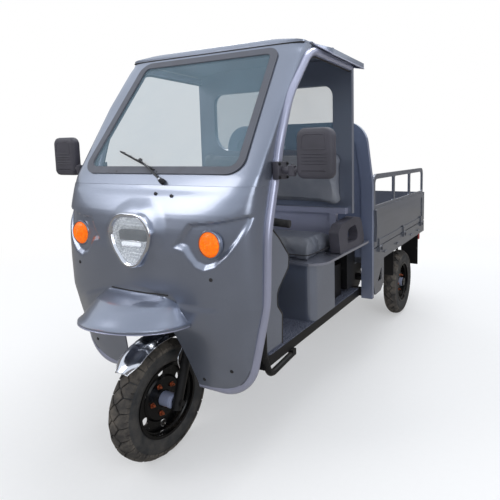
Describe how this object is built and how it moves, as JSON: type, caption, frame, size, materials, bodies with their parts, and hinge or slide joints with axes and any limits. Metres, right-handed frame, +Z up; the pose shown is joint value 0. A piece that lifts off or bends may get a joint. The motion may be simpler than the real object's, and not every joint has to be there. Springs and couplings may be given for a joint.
{
  "type": "electric cargo tricycle",
  "caption": "Three-wheeled electric cargo vehicle with a steered front wheel, a half-open cab with a bench seat, and a drop-side cargo bed.",
  "frame": {"origin": "middle of the part's own box, on the ground", "axes": "+Z up, -Y the way it drives, +X its left side"},
  "size_m": [1.518, 2.815, 1.7799],
  "materials": {
    "cab_paint": "satin metallic",
    "bed_paint": "gloss metallic",
    "tube_paint": "satin metallic",
    "black_steel": "gloss black",
    "moulded_plastic": "grained",
    "gasket_rubber": "matt",
    "tyre_rubber": "matt",
    "floor_mat": "speckled",
    "seat_cover": "grained",
    "clear_glass": "clear",
    "bright_metal": "polished",
    "amber_lens": "ribbed",
    "red_lens": "ribbed"
  },
  "bodies": {
    "chassis": {"main_frame": "black_steel", "step_bars": "black_steel", "floor_pan": "floor_mat", "front_fairing": "cab_paint", "screen_surround": "cab_paint", "roof_panel": "cab_paint", "cab_hoop_left": "tube_paint", "cab_hoop_right": "tube_paint", "windscreen": "clear_glass", "windscreen_gasket": "gasket_rubber", "wiper": "black_steel", "headlight_bezel": "bright_metal", "headlight_lens": "clear_glass", "turn_signals": "amber_lens", "wheel_visor": "cab_paint", "mirrors": "moulded_plastic", "leg_shield": "cab_paint", "instrument": "moulded_plastic", "battery_box": "cab_paint", "seat_deck": "tube_paint", "seat_cushion": "seat_cover", "backrest_pad": "seat_cover", "seat_back_frame": "cab_paint", "armrests": "moulded_plastic", "rear_wall": "cab_paint", "rear_glass": "clear_glass", "controller_block": "black_steel", "bed_frame": "bed_paint", "bed_headboard": "cab_paint", "rear_mudguards": "moulded_plastic", "tail_lamps": "red_lens", "rear_axle": "black_steel", "leaf_springs": "black_steel"},
    "steering": {"fork": "black_steel", "front_mudguard": "bright_metal", "handlebar": "moulded_plastic"},
    "front_wheel": {"front_tyre": "tyre_rubber", "front_rim": "black_steel"},
    "rear_wheel_left": {"rear_tyre_left": "tyre_rubber", "rear_rim_left": "black_steel"},
    "rear_wheel_right": {"rear_tyre_right": "tyre_rubber", "rear_rim_right": "black_steel"},
    "gate_left": {"side_gate_left": "bed_paint"},
    "gate_right": {"side_gate_right": "bed_paint"},
    "gate_rear": {"tailgate": "bed_paint"}
  },
  "joints": [
    {"name": "steering_turn", "type": "hinge", "parent": "chassis", "child": "steering", "pos_m": [0, -1.0955, 0.245], "axis": [0, 0.342, 0.9397], "range_deg": [-28, 28]},
    {"name": "front_wheel_spin", "type": "hinge", "parent": "steering", "child": "front_wheel", "pos_m": [0, -1.1075, 0.245], "axis": [1, 0, 0], "continuous": true},
    {"name": "rear_wheel_left_spin", "type": "hinge", "parent": "chassis", "child": "rear_wheel_left", "pos_m": [0.425, 0.9765, 0.25], "axis": [1, 0, 0], "continuous": true},
    {"name": "rear_wheel_right_spin", "type": "hinge", "parent": "chassis", "child": "rear_wheel_right", "pos_m": [-0.425, 0.9765, 0.25], "axis": [1, 0, 0], "continuous": true},
    {"name": "gate_left_fold", "type": "hinge", "parent": "chassis", "child": "gate_left", "pos_m": [0.54, 0.7425, 0.69], "axis": [0, 1, 0], "range_deg": [0, 170]},
    {"name": "gate_right_fold", "type": "hinge", "parent": "chassis", "child": "gate_right", "pos_m": [-0.54, 0.7425, 0.69], "axis": [0, -1, 0], "range_deg": [0, 170]},
    {"name": "gate_rear_fold", "type": "hinge", "parent": "chassis", "child": "gate_rear", "pos_m": [0, 1.4005, 0.69], "axis": [-1, 0, 0], "range_deg": [0, 170]}
  ]
}
